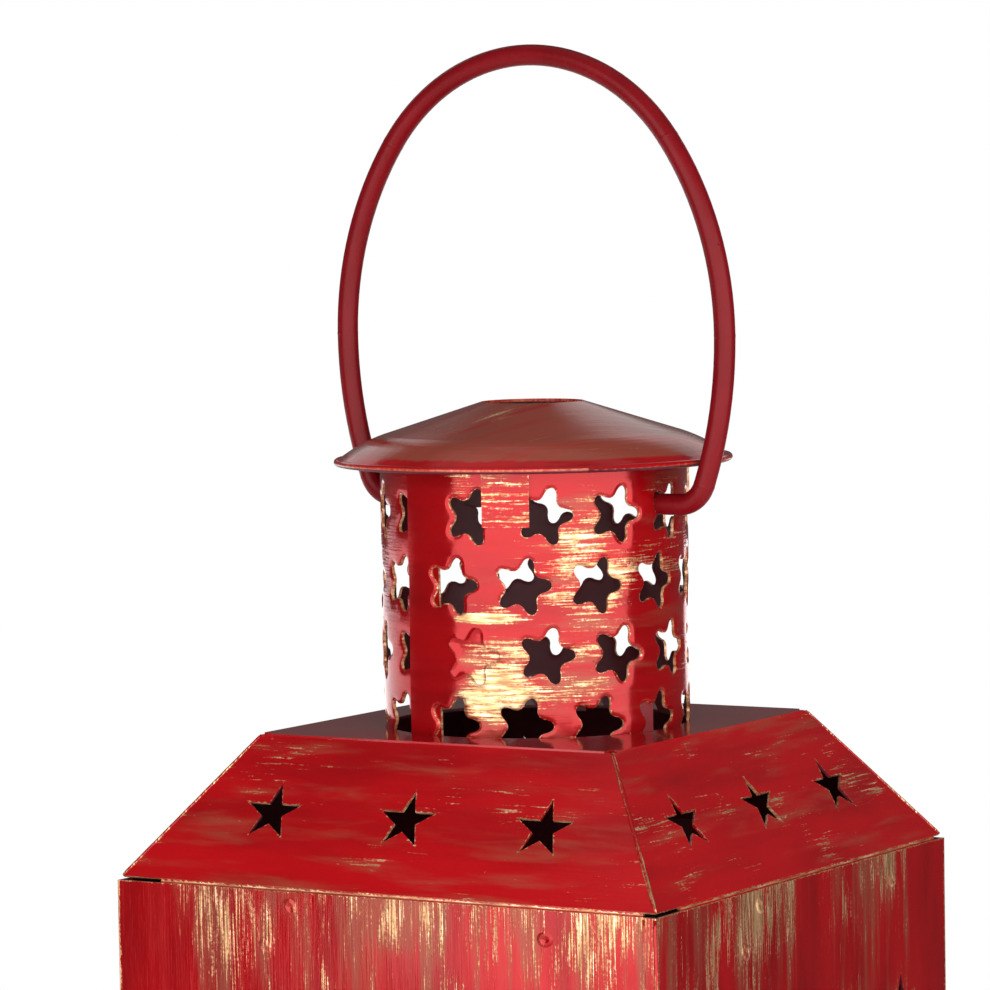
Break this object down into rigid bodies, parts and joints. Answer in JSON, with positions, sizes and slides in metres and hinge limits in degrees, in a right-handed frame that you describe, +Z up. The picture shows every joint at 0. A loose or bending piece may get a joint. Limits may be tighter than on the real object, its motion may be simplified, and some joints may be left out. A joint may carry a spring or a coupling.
{
  "type": "candle lantern",
  "caption": "Painted punched-tin candle lantern with a square body, hinged door, hipped roof, vented chimney, domed cap and swinging wire bail.",
  "frame": {"origin": "middle of the underside of the base pan, on the surface that the lantern stands on", "axes": "+Z up through the chimney, -Y out of the front wall that has the door, +X to the right of someone facing the door"},
  "size_m": [0.1334, 0.1435, 0.3446],
  "materials": {
    "body_paint": "worn gloss red, brushed with old gold",
    "roof_paint": "worn gloss red, light gold brushing along the eaves",
    "chimney_paint": "worn gloss red, gold brushed round the stars",
    "cap_paint": "red dulled by brushed bronze",
    "inside_paint": "dark maroon paint",
    "fitting_paint": "satin red with worn edges",
    "pin_steel": "dull steel wire",
    "wire_paint": "satin red"
  },
  "bodies": {
    "lantern": {"base_pan": "body_paint", "front_left_sheet": "body_paint", "right_back_sheet": "body_paint", "roof": "roof_paint", "chimney": "chimney_paint", "chimney_clips": "inside_paint", "cap": "cap_paint", "cap_tabs": "chimney_paint", "drip_pan": "inside_paint", "candle_cup": "inside_paint", "base_rivets": "fitting_paint", "hinge_leaves": "fitting_paint", "hinge_pins": "pin_steel", "leaf_rivets": "fitting_paint", "latch_washer": "fitting_paint", "latch_rivet": "fitting_paint"},
    "door": {"door_panel": "body_paint", "door_straps": "fitting_paint", "strap_rivets": "fitting_paint", "pull_knob": "fitting_paint"},
    "latch": {"turn_button": "fitting_paint"},
    "handle": {"bail": "wire_paint"}
  },
  "joints": [
    {"name": "door_hinge", "type": "hinge", "parent": "lantern", "child": "door", "pos_m": [-0.0505, -0.0671, 0.082], "axis": [0, 0, -1], "range_deg": [0, 165]},
    {"name": "button_pivot", "type": "hinge", "parent": "lantern", "child": "latch", "pos_m": [0.054, -0.0673, 0.082], "axis": [0, 1, 0], "continuous": true},
    {"name": "bail_pivot", "type": "hinge", "parent": "lantern", "child": "handle", "pos_m": [0, 0, 0.2473], "axis": [0.9962, -0.0872, 0], "range_deg": [-130, 130]}
  ]
}
